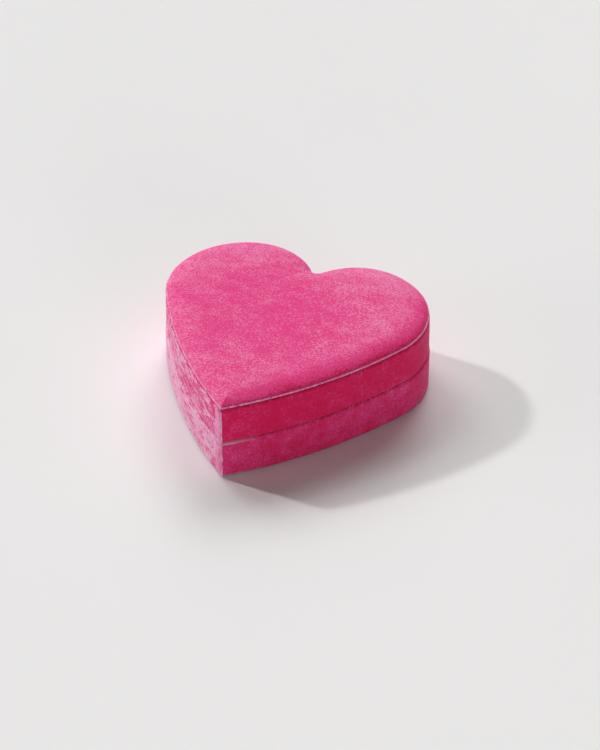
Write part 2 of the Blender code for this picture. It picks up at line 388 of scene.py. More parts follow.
def pad_mesh(name, heart, outer, thickness, rim, shoulder, material, crown=0.0003):
    """A padded panel that faces up from height 0, with a flat underside and a rounded shoulder."""
    low = min(0.0003, rim / 3)
    stations = [(outer + 0.004, 0.0), (outer + 0.0004, 0.0), (outer + 0.00005, low), (outer, rim / 2)]
    steps = 9
    for step in range(steps + 1):
        turn = math.pi / 2 * step / steps
        inset = outer + shoulder * (1 - math.cos(turn))
        stations.append((inset, rim + (thickness - rim) * math.sin(turn)))
    vertices, lay, faces = [], [], []
    for inset, height in stations:
        ring = heart.outline(inset, PAD_SPACING)
        count = len(ring)
        for point, _, walk in ring:
            vertices.append(Vector((point.x, point.y, height)))
            lay.append((walk, height, inset - outer))
    for row in range(len(stations) - 1):
        for column in range(count):
            beside = (column + 1) % count
            here = row * count
            faces.append((here + column, here + beside, here + count + beside, here + count + column))
    for row, height in ((len(stations) - 1, thickness), (0, 0.0)):
        ring = [Vector(vertices[row * count + column].xy) for column in range(count)]
        points, triangles, origins = fill_inside(ring, PAD_SPACING if row else 3 * PAD_SPACING)
        numbers = {}
        for corner in sorted({corner for triangle in triangles for corner in triangle}):
            if 0 <= origins[corner] < count:
                numbers[corner] = row * count + origins[corner]
                continue
            point = points[corner]
            away = min((point - beside).length for beside in ring)
            rise = crown * (1 - math.exp(-away / 0.02)) if row else 0.0
            numbers[corner] = len(vertices)
            vertices.append(Vector((point.x, point.y, height + rise)))
            lay.append((0.1, height, stations[row][0] - outer + away))
        faces += [tuple(numbers[corner] for corner in triangle) for triangle in triangles]
    piece = make_piece(name, vertices, faces, material, lay)
    held = piece.vertex_groups.new(name="held")
    fixed = [index for index, vertex in enumerate(vertices) if vertex.z <= rim * JUST_ABOVE]
    held.add(fixed, 1.0, "REPLACE")
    return piece


SOLVER_SCALE = 10.0  # the solver works best on a piece the size of a seat pad
SOLVER_FRAMES = 20
PRESSURE = 4.0


def puff_up(piece, most):
    """Lets the pad's cloth swell over its wadding as simulated cloth, by no more than most."""
    mesh = piece.data
    start = [vertex.co.copy() for vertex in mesh.vertices]
    for vertex in mesh.vertices:
        vertex.co *= SOLVER_SCALE
    modifier = piece.modifiers.new("swelling", "CLOTH")
    cloth = modifier.settings
    cloth.quality = 4
    cloth.mass = 0.15
    cloth.use_pressure = True
    cloth.uniform_pressure_force = PRESSURE
    cloth.vertex_group_mass = "held"
    cloth.effector_weights.gravity = 0.0
    cloth.tension_stiffness = 10
    cloth.compression_stiffness = 10
    cloth.bending_stiffness = 0.5
    scene = bpy.context.scene
    for number in range(1, SOLVER_FRAMES + 1):
        scene.frame_set(number)
    swollen = piece.evaluated_get(bpy.context.evaluated_depsgraph_get()).to_mesh()
    moves = [after.co / SOLVER_SCALE - before for after, before in zip(swollen.vertices, start)]
    piece.evaluated_get(bpy.context.evaluated_depsgraph_get()).to_mesh_clear()
    piece.modifiers.remove(modifier)
    scene.frame_set(1)
    for vertex, before, move in zip(mesh.vertices, start, moves):
        vertex.co = before + move * min(1.0, most / max(move.length, 1e-9))


def relax(piece, rounds, below=1.0):
    """Evens out the heights of a pad's free points, or only of those whose Y is under below."""
    shape = bmesh.new()
    shape.from_mesh(piece.data)
    layer = shape.verts.layers.deform.verify()
    free = [vertex for vertex in shape.verts if 0 not in vertex[layer] and vertex.co.y < below]
    for _ in range(rounds):
        heights = [
            sum(edge.other_vert(vertex).co.z for edge in vertex.link_edges) / len(vertex.link_edges)
            for vertex in free
        ]
        for vertex, height in zip(free, heights):
            vertex.co.z += 0.5 * (height - vertex.co.z)
    shape.to_mesh(piece.data)
    shape.free()


def subdivide(piece):
    """Applies one round of subdivision."""
    modifier = piece.modifiers.new("smoothing", "SUBSURF")
    modifier.levels = 1
    modifier.render_levels = 1
    finished = bpy.data.meshes.new_from_object(
        piece.evaluated_get(bpy.context.evaluated_depsgraph_get()),
        preserve_all_data_layers=True,
        depsgraph=bpy.context.evaluated_depsgraph_get(),
    )
    piece.modifiers.remove(modifier)
    old = piece.data
    piece.data = finished
    bpy.data.meshes.remove(old)
    finished.name = piece.name
    finished.shade_smooth()


def raise_to(piece, level, face_down=False):
    """Sets a pad's underside at that level, or turned over hangs it down from there."""
    for vertex in piece.data.vertices:
        vertex.co.z = level - vertex.co.z if face_down else level + vertex.co.z
    if face_down:
        piece.data.flip_normals()


# --- Materials ---


def add_node(tree, kind, inputs=None, **settings):
    """A node with its settings, whose inputs are values or other nodes' sockets."""
    node = tree.nodes.new(kind)
    node.location = (len(tree.nodes) % 8 * 190, -(len(tree.nodes) // 8) * 260)
    for name, value in settings.items():
        setattr(node, name, value)
    for name, value in (inputs or {}).items():
        socket = node.inputs[name]
        if isinstance(value, bpy.types.NodeSocket):
            tree.links.new(value, socket)
        else:
            socket.default_value = value
    return node


def mix_colours(tree, share, first, second, blend="MIX"):
    inputs = {0: share, 6: first, 7: second}
    return add_node(tree, "ShaderNodeMix", inputs, data_type="RGBA", blend_type=blend).outputs[2]


def calculate(tree, operation, first, second=0.0, third=0.0):
    inputs = {0: first, 1: second, 2: third}
    return add_node(tree, "ShaderNodeMath", inputs, operation=operation).outputs[0]


def spread(tree, value, low, high, to_low=0.0, to_high=1.0):
    """Maps low..high smoothly to a new range."""
    node = add_node(
        tree,
        "ShaderNodeMapRange",
        {"Value": value, "From Min": low, "From Max": high, "To Min": to_low, "To Max": to_high},
        interpolation_type="SMOOTHSTEP",
    )
    return node.outputs["Result"]


def noise_at(tree, place, scale, detail=2.0, roughness=0.5, distortion=0.0):
    inputs = {"Vector": place, "Scale": scale, "Detail": detail, "Roughness": roughness}
    inputs["Distortion"] = distortion
    return add_node(tree, "ShaderNodeTexNoise", inputs).outputs["Fac"]


def new_group(name, inputs, outputs):
    """An empty shader node group. Inputs and outputs are (name, socket kind, default) each."""
    group = bpy.data.node_groups.new(name, "ShaderNodeTree")
    for label, kind, default in inputs:
        socket = group.interface.new_socket(label, in_out="INPUT", socket_type="NodeSocket" + kind)
        if default is not None:
            socket.default_value = default
    for label, kind in outputs:
        group.interface.new_socket(label, in_out="OUTPUT", socket_type="NodeSocket" + kind)
    entry = group.nodes.new("NodeGroupInput")
    end = group.nodes.new("NodeGroupOutput")
    end.location = (1700, 0)
    return group, entry.outputs, end.inputs


def crushed_pile_group():
    """Velvet's colour and height: broad patches, mottles, streaks and grain in its pile."""
    if "crushed_pile" in bpy.data.node_groups:
        return bpy.data.node_groups["crushed_pile"]
    group, given, out = new_group(
        "crushed_pile",
        (
            ("Place", "Vector", None),
            ("Stretch", "Vector", (1.0, 1.0, 1.0)),
            ("Lean and painted shade", "Float", 0.0),
            ("Deep", "Color", (0.6, 0.02, 0.1, 1.0)),
            ("Flat", "Color", (0.74, 0.06, 0.2, 1.0)),
            ("Crushed", "Color", (0.8, 0.3, 0.5, 1.0)),
            ("Tone", "Float", 0.5),
            ("Patches", "Float", 0.5),
            ("Mottles", "Float", 0.5),
            ("Streaks", "Float", 0.0),
            ("Grain", "Float", 0.3),
        ),
        (("Colour", "Color"), ("Height", "Float"), ("Paleness", "Float")),
    )
    place = given["Place"]
    stretched = add_node(
        group, "ShaderNodeVectorMath", {0: place, 1: given["Stretch"]}, operation="MULTIPLY"
    ).outputs[0]
    patches = noise_at(group, place, 48.0, 3.0, 0.5, 0.6)
    mottles = noise_at(group, place, 210.0, 4.0, 0.65, 0.4)
    streaks = noise_at(group, stretched, 1.0, 4.0, 0.6, 0.5)
    grain = noise_at(group, place, 1050.0, 3.0, 0.75)
    # This input shifts the tone; besides the pile's lean, callers put painted light and shade into it.
    tone = calculate(group, "ADD", given["Tone"], given["Lean and painted shade"])
    for strength, pattern in (
        (given["Patches"], patches),
        (given["Mottles"], mottles),
        (given["Streaks"], streaks),
        (given["Grain"], grain),
    ):
        centred = calculate(group, "MULTIPLY_ADD", pattern, 2.0, -1.0)
        tone = calculate(group, "MULTIPLY_ADD", centred, strength, tone)
    flatter = mix_colours(group, spread(group, tone, 0.0, 0.5), given["Deep"], given["Flat"])
    paleness = spread(group, tone, 0.5, 1.0)
    group.links.new(mix_colours(group, paleness, flatter, given["Crushed"]), out["Colour"])
    relief = calculate(group, "MULTIPLY_ADD", mottles, 0.6, calculate(group, "MULTIPLY", grain, 0.5))
    relief = calculate(group, "MULTIPLY_ADD", streaks, given["Streaks"], relief)
    group.links.new(relief, out["Height"])
    group.links.new(paleness, out["Paleness"])
    return group


def worn_edge_and_highlight_group():
    """A mask that is 1 along an edge at height Level and fades over Width, broken up by noise: a worn fold
    that is partly a painted highlight.
    """
    if "worn_edge_and_highlight" in bpy.data.node_groups:
        return bpy.data.node_groups["worn_edge_and_highlight"]
    group, given, out = new_group(
        "worn_edge_and_highlight",
        (
            ("Place", "Vector", None),
            ("Height", "Float", 0.0),
            ("Level", "Float", 0.0),
            ("Width", "Float", 0.001),
            ("Breakup", "Float", 0.5),
        ),
        (("Mask", "Float"),),
    )
    gap = calculate(group, "ABSOLUTE", calculate(group, "SUBTRACT", given["Height"], given["Level"]))
    near = calculate(group, "DIVIDE", gap, given["Width"])
    ragged = noise_at(group, given["Place"], 420.0, 3.0, 0.6, 0.3)
    ragged = calculate(group, "MULTIPLY", calculate(group, "SUBTRACT", ragged, 0.5), given["Breakup"])
    group.links.new(spread(group, calculate(group, "ADD", near, ragged), 1.0, 0.3), out["Mask"])
    return group


def fibre_group():
    """Short fibres and flecks for board, tape and felt."""
    if "fibres" in bpy.data.node_groups:
        return bpy.data.node_groups["fibres"]
    group, given, out = new_group(
        "fibres",
        (("Place", "Vector", None), ("Scale", "Float", 500.0), ("Base", "Color", (0.4, 0.4, 0.4, 1.0))),
        (("Colour", "Color"), ("Height", "Float"), ("Roughness", "Float")),
    )
    clouds = noise_at(group, given["Place"], calculate(group, "MULTIPLY", given["Scale"], 0.12), 3.0)
    strands = noise_at(group, given["Place"], given["Scale"], 4.0, 0.5, 2.2)
    flecks = add_node(
        group,
        "ShaderNodeTexVoronoi",
        {"Vector": given["Place"], "Scale": calculate(group, "MULTIPLY", given["Scale"], 0.8)},
    ).outputs["Distance"]
    shade = spread(group, strands, 0.3, 0.7, 0.72, 1.15)
    shade = calculate(group, "MULTIPLY", shade, spread(group, clouds, 0.3, 0.7, 0.9, 1.08))
    shade = calculate(group, "MULTIPLY", shade, spread(group, flecks, 0.05, 0.2, 0.7, 1.0))
    tint = add_node(group, "ShaderNodeCombineColor", {0: shade, 1: shade, 2: shade}).outputs[0]
    group.links.new(mix_colours(group, 1.0, given["Base"], tint, "MULTIPLY"), out["Colour"])
    group.links.new(strands, out["Height"])
    group.links.new(spread(group, clouds, 0.2, 0.8, 0.78, 0.95), out["Roughness"])
    return group


WHITE = (1.0, 1.0, 1.0)


def start_material(name, roughness, sheen=0.0, sheen_tint=WHITE, sheen_roughness=0.4, specular=0.5):
    """A material with its Principled shader's even values set."""
    material = bpy.data.materials.new(name)
    material.use_nodes = True
    tree = material.node_tree
    shader = tree.nodes["Principled BSDF"]
    shader.location = (1900, 0)
    tree.nodes["Material Output"].location = (2200, 0)
    shader.inputs["Roughness"].default_value = roughness
    shader.inputs["Sheen Weight"].default_value = sheen
    shader.inputs["Sheen Tint"].default_value = (*sheen_tint, 1.0)
    shader.inputs["Sheen Roughness"].default_value = sheen_roughness
    shader.inputs["Specular IOR Level"].default_value = specular
    return material, tree, shader


def join(tree, shader, colour, roughness, height, strength, distance):
    """Joins a colour, a roughness and a bumpy height to the Principled shader."""
    tree.links.new(colour, shader.inputs["Base Color"])
    tree.links.new(roughness, shader.inputs["Roughness"])
    inputs = {"Height": height, "Strength": strength, "Distance": distance}
    bump = add_node(tree, "ShaderNodeBump", inputs)
    tree.links.new(bump.outputs["Normal"], shader.inputs["Normal"])


def surface_place(tree):
    """Where a point lies on the piece."""
    return add_node(tree, "ShaderNodeTexCoord").outputs["Object"]


def cloth_place(tree):
    """Where a point lies along and across its cloth."""
    return add_node(tree, "ShaderNodeAttribute", attribute_name="lay").outputs["Vector"]


def opaque(colour):
    return (*colour, 1.0)


def turned_towards(tree, towards):
    """How far the surface turns towards a direction, from -1 to 1."""
    inputs = {0: add_node(tree, "ShaderNodeNewGeometry").outputs["Normal"], 1: towards}
    turned = add_node(tree, "ShaderNodeVectorMath", inputs, operation="DOT_PRODUCT")
    return turned.outputs["Value"]


VELVET_SHEEN = {
    "sheen": 0.36,
    "sheen_tint": (0.95, 0.50, 0.85),
    "sheen_roughness": 0.40,
    "specular": 0.12,
}


def top_velvet_material(colours):
    """Velvet over the pads: soft mottles, and a deeper band where its shoulder rolls over towards the
    front right, partly the pile's lean and partly painted shade.
    """
    material, tree, shader = start_material("velvet_over_pads", 0.85, **VELVET_SHEEN)
    place = surface_place(tree)
    # Painted shade: the shoulder turns to the front right, away from the key lamp, and is painted deeper
    # by its direction, partly also for the pile's lean.
    forward = turned_towards(tree, (0.80, -0.45, 0.0))
    rolled_pile_and_painted_shade = spread(tree, forward, -0.02, 0.38, 0.0, -0.46)
    along = add_node(tree, "ShaderNodeSeparateXYZ", {0: place}).outputs["Y"]
    rolled_pile_and_painted_shade = calculate(tree, "MULTIPLY", rolled_pile_and_painted_shade, spread(tree, along, -0.062, -0.045, 0.65, 1.0))
    inputs = {0: place, 1: (-0.006, 0.004, 0.042)}
    away = add_node(tree, "ShaderNodeVectorMath", inputs, operation="DISTANCE").outputs["Value"]
    outer = spread(tree, away, 0.018, 0.060, -0.04, 0.13)
    inputs = {
        "Place": place,
        "Stretch": (70.0, 190.0, 150.0),
        "Lean and painted shade": calculate(tree, "ADD", rolled_pile_and_painted_shade, outer),
        "Deep": opaque(colours.pile_deep),
        "Flat": opaque(colours.pile),
        "Crushed": opaque(colours.pile_pale),
        "Tone": 0.60,
        "Patches": 0.17,
        "Mottles": 0.17,
        "Streaks": 0.20,
        "Grain": 0.75,
    }
    pile = add_node(tree, "ShaderNodeGroup", inputs, node_tree=crushed_pile_group()).outputs
    roughness = spread(tree, pile["Paleness"], 0.0, 1.0, 0.9, 0.7)
    join(tree, shader, pile["Colour"], roughness, pile["Height"], 0.55, 0.0006)
    return material


def wall_velvet_material(colours):
    """Velvet drawn round the walls: streaks that run along it, pale worn folds near the tip that are
    partly a painted highlight, and painted light and shade by how each wall faces the lamps.
    """
    material, tree, shader = start_material("velvet_round_walls", 0.85, **VELVET_SHEEN)
    lay = cloth_place(tree)
    place = surface_place(tree)
    height = add_node(tree, "ShaderNodeSeparateXYZ", {0: place}).outputs["Z"]
    # Painted light and shade: walls that face the key lamp are painted paler and walls that face away are
    # painted deeper, partly also for the pile's lean; the same measure gives the lit walls stronger pale
    # streaks.
    faces_away_from_key = turned_towards(tree, (0.95, -0.1, 0.0))
    pile_lean_and_painted_shade = spread(tree, faces_away_from_key, -0.8, 0.8, 0.20, -0.44)
    # Painted light: the base's wall, below the lid, is painted paler.
    lower = spread(tree, height, 0.0200, 0.0190, 0.0, 0.22)
    # Painted shade: walls that face back and to the left are painted deeper.
    behind = spread(tree, turned_towards(tree, (-0.40, 0.92, 0.0)), 0.05, 0.75, 0.0, -0.38)
    inputs = {
        "Place": lay,
        "Stretch": (150.0, 560.0, 60.0),
        "Lean and painted shade": calculate(tree, "ADD", calculate(tree, "ADD", pile_lean_and_painted_shade, lower), behind),
        "Deep": opaque(colours.pile_deep),
        "Flat": opaque(colours.pile),
        "Crushed": opaque(colours.crushed_pale),
        "Tone": 0.50,
        "Patches": 0.26,
        "Mottles": 0.42,
        "Streaks": spread(tree, faces_away_from_key, -0.8, 0.6, 1.00, 0.24),
        "Grain": 0.80,
    }
    pile = add_node(tree, "ShaderNodeGroup", inputs, node_tree=crushed_pile_group()).outputs
    walked = add_node(tree, "ShaderNodeSeparateXYZ", {0: lay}).outputs["X"]
    near_tip = spread(tree, walked, 0.022, 0.004, 0.0, 0.75)
    low, high = levels("base_wall_velvet")
    colour = pile["Colour"]
    # Pale worn folds along the base's top and bottom edges near the tip, partly a painted highlight where
    # light catches the edge.
    for level, breakup in ((high - 0.0002, 0.7), (low - 0.0001, 0.6)):
        inputs = {"Place": place, "Height": height, "Level": level, "Width": 0.0009}
        inputs["Breakup"] = breakup
        edge = add_node(tree, "ShaderNodeGroup", inputs, node_tree=worn_edge_and_highlight_group())
        share = calculate(tree, "MULTIPLY", edge.outputs["Mask"], near_tip)
        colour = mix_colours(tree, share, colour, opaque(colours.fold_pale_and_highlight))
    roughness = spread(tree, pile["Paleness"], 0.0, 1.0, 0.9, 0.65)
    join(tree, shader, colour, roughness, pile["Height"], 0.6, 0.0006)
    return material


def fold_velvet_material(colours):
    """The velvet's worn fold, where the pile parts and the paler backing shows; the paleness is partly a
    painted highlight along the fold.
    """
    material, tree, shader = start_material("velvet_worn_fold_and_highlight", 0.8, **VELVET_SHEEN)
    inputs = {
        "Place": cloth_place(tree),
        "Stretch": (1280.0, 300.0, 60.0),
        "Deep": opaque(colours.pile),
        "Flat": opaque(colours.pile_pale),
        "Crushed": opaque(colours.fold_pale_and_highlight),
        "Tone": 0.52,
        "Patches": 0.4,
        "Mottles": 0.8,
        "Streaks": 0.9,
        "Grain": 0.7,
    }
    pile = add_node(tree, "ShaderNodeGroup", inputs, node_tree=crushed_pile_group()).outputs
    roughness = spread(tree, pile["Paleness"], 0.0, 1.0, 0.85, 0.65)
    join(tree, shader, pile["Colour"], roughness, pile["Height"], 0.5, 0.0004)
    return material


def satin_material(colours):
    """Satin with fine warp lines, soft pulls and a quiet gloss."""
    material, tree, shader = start_material("satin_lining", 0.4, 0.25, (1.0, 0.85, 0.9), 0.3, 0.5)
    place = surface_place(tree)
    inputs = {0: place, 1: (140.0, 45.0, 60.0)}
    pulls = add_node(tree, "ShaderNodeVectorMath", inputs, operation="MULTIPLY").outputs[0]
    pulls = noise_at(tree, pulls, 1.0, 3.0, 0.55, 1.1)
    inputs = {"Vector": place, "Scale": 900.0, "Distortion": 1.5, "Detail": 2.0, "Detail Scale": 3.0}
    warp = add_node(tree, "ShaderNodeTexWave", inputs, bands_direction="DIAGONAL").outputs["Fac"]
    deep = tuple(0.8 * channel for channel in colours.satin)
    pale = tuple(min(1.0, 1.12 * channel) for channel in colours.satin)
    colour = mix_colours(tree, spread(tree, pulls, 0.25, 0.75), opaque(deep), opaque(pale))
    colour = mix_colours(tree, calculate(tree, "MULTIPLY", warp, 0.12), colour, (0.95, 0.8, 0.85, 1.0))
    relief = calculate(tree, "MULTIPLY_ADD", warp, 0.12, pulls)
    join(tree, shader, colour, spread(tree, pulls, 0.2, 0.8, 0.48, 0.32), relief, 0.5, 0.0008)
    return material


def fibrous_material(name, colour, scale, roughness, bump):
    """Board, tape or felt, with fibres of that scale."""
    material, tree, shader = start_material(name, roughness, specular=0.3)
    inputs = {"Place": surface_place(tree), "Scale": scale, "Base": opaque(colour)}
    fibres = add_node(tree, "ShaderNodeGroup", inputs, node_tree=fibre_group()).outputs
    join(tree, shader, fibres["Colour"], fibres["Roughness"], fibres["Height"], 0.5, bump)
    return material


def floor_material(colours):
    """A matt pale sweep with a faint tooth."""
    material, tree, shader = start_material("matt_sweep", 0.9, specular=0.2)
    place = surface_place(tree)
    clouds = noise_at(tree, place, 2.2, 3.0, 0.5)
    tooth = noise_at(tree, place, 420.0, 3.0, 0.6)
    deep = tuple(0.975 * channel for channel in colours.floor)
    colour = mix_colours(tree, spread(tree, clouds, 0.3, 0.7), opaque(deep), opaque(colours.floor))
    join(tree, shader, colour, spread(tree, tooth, 0.3, 0.7, 0.85, 0.95), tooth, 0.12, 0.0004)
    return material


def finish_named(name, maker, *values):
    """A material by name, made the first time it is asked for."""
    return bpy.data.materials.get(name) or maker(*values)


# --- Operators ---


def settings(context):
    scene = context.scene
    return scene.heart_box_sizes, scene.heart_box_colours, Heart(scene.heart_box_sizes)


def fit(piece, body, slot, *nodes):
    """Rides a piece on a body in place of those CAD nodes, which it hides; the slot is not used."""
    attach(piece, body)
    if nodes:
        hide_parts(*nodes)


def stretch_band(name, body, node, board, path, cloth, around, flap=None):
    """Draws a cloth round the heart along a path of (inset, height), cut as a straight strip.

    cloth is its thickness, fold radius, material and slot. The inset around is not used.
    A flap is the name of the lapped end at the tip.
    """
    _, _, heart = settings(bpy.context)
    thickness, radius, material, slot = cloth
    waves = VELVET_WAVES if flap else 0.0
    band = wrap_round(name, heart, cloth_section(path, thickness, radius), material, waves)
    fit(band, body, slot, node)
    pieces = [tip_flap(flap, body, node)] if flap else []
    for piece in pieces:
        fit(piece, body, slot)
    strip = sum((Vector(b) - Vector(a)).length for a, b in zip(path, path[1:]))
    flat = (heart.perimeter(around), strip)


TIP_END = -0.040  # the lid pad's shoulders are evened out where Y is under this


class HEARTBOX_OT_lid_pad(bpy.types.Operator):
    """Pads the lid: velvet drawn over wadding, with a rounded shoulder and soft creases"""

    bl_idname = "heartbox.lid_pad"
    bl_label = "Lid pad"

    def execute(self, context):
        sizes, colours, heart = settings(context)
        material = finish_named("velvet_over_pads", top_velvet_material, colours)
        bottom, top = levels("top_velvet")
        rim = 0.0012
        height = top - bottom - 0.0006
        outer = depth_of("top_velvet")
        pad = pad_mesh("lid_top_pad", heart, outer, height, rim, sizes.top_shoulder, material)
        relax(pad, 12)
        relax(pad, 60, below=TIP_END)
        settle_wadding(pad, rim, height)
        puff_up(pad, sizes.lid_swell)
        relax(pad, 2)
        raise_to(pad, bottom)
        subdivide(pad)
        fit(pad, "lid", "velvet", "top_velvet", "top_wadding")
        return {"FINISHED"}


# Where the cloth rises or is drawn down beside the notch: place, reach and rise.
PULLS = (
    (Vector((0.0045, 0.0505)), 0.0030, 0.0005),
    (Vector((-0.0060, 0.0490)), 0.0045, -0.0003),
    (Vector((0.0010, 0.0440)), 0.0050, -0.0004),
)


def settle_wadding(pad, rim, height):
    """Uneven wadding under the cloth, and the small pulls where it turns into the notch."""
    for vertex in pad.data.vertices:
        if vertex.co.z <= rim * JUST_ABOVE:
            continue
        share = (vertex.co.z - rim) / (height - rim)
        spot = Vector((vertex.co.x, vertex.co.y, 0))
        lift = 0.00016 * unevenness(spot, 0.020, 1.0) + 0.00010 * unevenness(spot, 0.008, 4.0)
        for centre, reach, rise in PULLS:
            lift += rise * math.exp(-((spot.xy - centre).length_squared) / reach**2)
        vertex.co.z += lift * min(1.0, share * 1.3)


EDGE_ROLL = 0.00042  # radius of the fold round the lid's padded top


class HEARTBOX_OT_lid_edge(bpy.types.Operator):
    """Lays the worn, ribbed fold of velvet round the edge of the lid's padded top, pale partly as a
    painted highlight
    """

    bl_idname = "heartbox.lid_edge"
    bl_label = "Lid edge fold"

    def execute(self, context):
        sizes, colours, heart = settings(context)
        material = finish_named("velvet_worn_fold_and_highlight", fold_velvet_material, colours)
        bottom, _ = levels("top_velvet")
        outer = depth_of("top_velvet")
        middle = Vector((outer - 0.0001, bottom + 0.00064))
        sides = 10
        section = []
        for step in range(sides):
            turn = 2 * math.pi * step / sides
            section.append(middle + EDGE_ROLL * Vector((-math.cos(turn), math.sin(turn))))
        vertices, lay = [], []
        rings = [heart.outline(place.x, sizes.rib_pitch / 5) for place in section]
        for place, ring in zip(section, rings):
            for point, normal, walk in ring:
                spot = Vector((point.x, point.y, place.y))
                phase = 2 * math.pi * walk / sizes.rib_pitch + 2.5 * unevenness(spot, 0.006, 7.0)
                out = 0.00006 * math.sin(phase) + 0.00010 * unevenness(spot, 0.004, 9.0)
                vertices.append(spot + Vector((normal.x, normal.y, 0)) * out)
                lay.append((walk, place.y, point.x))
        faces = closed_grid(len(section), len(rings[0]))
        fold = make_piece("lid_edge_fold", vertices, faces, material, lay)
        fit(fold, "lid", "velvet")
        return {"FINISHED"}


VELVET_WAVES = 0.00016  # how much the velvet on the walls ripples
GAP = 0.0003  # between neighbouring layers
LID_GAP = 0.0004  # between the collar and the lid
BEAD = 0.0005  # how far the base's lower fold hangs below its turn-under


class HEARTBOX_OT_wall_wraps(bpy.types.Operator):
    """Wraps both walls in velvet, turned in behind the rims and under the base"""

    bl_idname = "heartbox.wall_wraps"
    bl_label = "Wall wraps"

    def execute(self, context):
        sizes, colours, _ = settings(context)
        material = finish_named("velvet_round_walls", wall_velvet_material, colours)
        half = sizes.velvet / 2
        collar = depth_of("collar_satin")
        low, high = levels("base_wall_velvet")
        inner = collar - GAP - half
        path = (
            (inner, high - sizes.turn_in),
            (inner, high - half),
            (half, high - half),
            (half, low + half - BEAD),
            (0.0021, low + half - BEAD),
            (0.0030, low + half),
            (sizes.turn_under, low + half),
        )
        velvet = (sizes.velvet, sizes.fold, material, "velvet")
        nodes = ("base_wall_velvet", "base_wall_board")
        stretch_band("base_wall_wrap", "base", *nodes, path, velvet, 0, "base_tip_flap")
        low, high = levels("lid_wall_velvet")
        face = depth_of("lid_wall_velvet")
        inner = collar - LID_GAP - half
        path = (
            (inner, low + sizes.turn_in + 0.001),
            (inner, low + half),
            (face + half, low + half),
            (face + half, high - half),
            (inner - 0.001, high - half),
        )
        nodes = ("lid_wall_velvet", "lid_wall_board")
        stretch_band("lid_wall_wrap", "lid", *nodes, path, velvet, face, "lid_tip_flap")
        return {"FINISHED"}


FLAP_STARTS = -0.0062  # walk up the -X side from the tip
FLAP_ENDS = 0.0014  # walk past the tip
FLAP_MARGIN = 0.0006  # between the flap and the wall's upper and lower edge


def tip_flap(name, body, node):
    """The end of a wall's velvet, lapped round the tip over the other end, with a ragged edge."""
    _, colours, heart = settings(bpy.context)
    material = finish_named("velvet_worn_fold_and_highlight", fold_velvet_material, colours)
    low, high = levels(node)
    face = depth_of(node)
    seed = 3.0 if body == "lid" else 8.0
    rows, columns = 26, 34
    bottom, top = low + FLAP_MARGIN, high - FLAP_MARGIN
    outside, inside, lay = [], [], []
    for row in range(rows + 1):
        height = bottom + (top - bottom) * row / rows
        ragged = 0.00055 * noise.noise(Vector((height * 420, seed, 0)))
        ragged += 0.0003 * noise.noise(Vector((height * 1400, seed, 4)))
        for column in range(columns + 1):
            share = column / columns
            walk = FLAP_STARTS + (FLAP_ENDS - FLAP_STARTS + ragged) * share
            point, normal = heart.place_at(walk, 0.0)
            spot = Vector((point.x, point.y, height))
            wave = 0.00009 * unevenness(spot, 0.0022, seed)
            rise = min(1.0, share / 0.45)
            lift = -face + 0.00020 + 0.00030 * rise * rise * (3 - 2 * rise) + wave * rise
            outer = point + normal * lift
            inner = point + normal * (-face + 0.00002)
            outside.append(Vector((outer.x, outer.y, height)))
            inside.append(Vector((inner.x, inner.y, height)))
            lay.append((walk, height, seed))
    count = columns + 1
    size = len(outside)
    faces = []
    for row in range(rows):
        for column in range(columns):
            here = row * count + column
            quad = (here, here + 1, here + count + 1, here + count)
            faces.append(quad)
            faces.append(tuple(size + corner for corner in reversed(quad)))
    border = list(range(count))
    border += [row * count + columns for row in range(1, rows + 1)]
    border += [rows * count + column for column in range(columns - 1, -1, -1)]
    border += [row * count for row in range(rows - 1, 0, -1)]
    for here, there in zip(border, border[1:] + border[:1]):
        faces.append((here, size + here, size + there, there))
    return make_piece(name, outside + inside, faces, material, lay + lay)


class HEARTBOX_OT_underside(bpy.types.Operator):
    """Covers the underside with a sheet of felt, set in from the edge"""

    bl_idname = "heartbox.underside"
    bl_label = "Underside felt"

    def execute(self, context):
        sizes, colours, heart = settings(context)
        material = fibrous_material("felt_underside", colours.felt, 900.0, 0.95, 0.0003)
        low, high = levels("underside_sheet")
        inset = depth_of("underside_sheet")
        thick = high - low
        felt = pad_mesh("underside_felt", heart, inset, thick, thick / 2, thick / 2, material, crown=0.0)
        raise_to(felt, low)
        fit(felt, "base", "felt", "underside_sheet")
        heart.area(inset)
        return {"FINISHED"}


COLLAR_BOARD = 0.0012  # thickness


class HEARTBOX_OT_satin_bands(bpy.types.Operator):
    """Covers the collar and the inside of the lid's wall with satin"""

    bl_idname = "heartbox.satin_bands"
    bl_label = "Satin bands"

    def execute(self, context):
        sizes, colours, _ = settings(context)
        material = finish_named("satin_lining", satin_material, colours)
        half = sizes.satin / 2
        outer = depth_of("collar_satin")
        inner = outer + 2 * sizes.satin + 2 * GAP + COLLAR_BOARD
        low, high = levels("collar_satin")
        skirt = levels("base_wall_velvet")[1] - sizes.collar_skirt
        path = (
            (outer + half, skirt),
            (outer + half, high - half),
            (inner - half, high - half),
            (inner - half, low),
        )
        satin = (sizes.satin, 0.0008, material, "satin")
        stretch_band("collar_wrap", "base", "collar_satin", "collar_board", path, satin, inner)
        outer = depth_of("lining_satin")
        inner = depth_of("ceiling_satin") - GAP
        low, high = levels("lining_satin")
        path = ((outer, low + half), (inner - half, low + half), (inner - half, high))
        satin = (sizes.satin, 0.0005, material, "satin")
        stretch_band("lid_lining", "lid", "lining_satin", "lining_card", path, satin, inner)
        return {"FINISHED"}


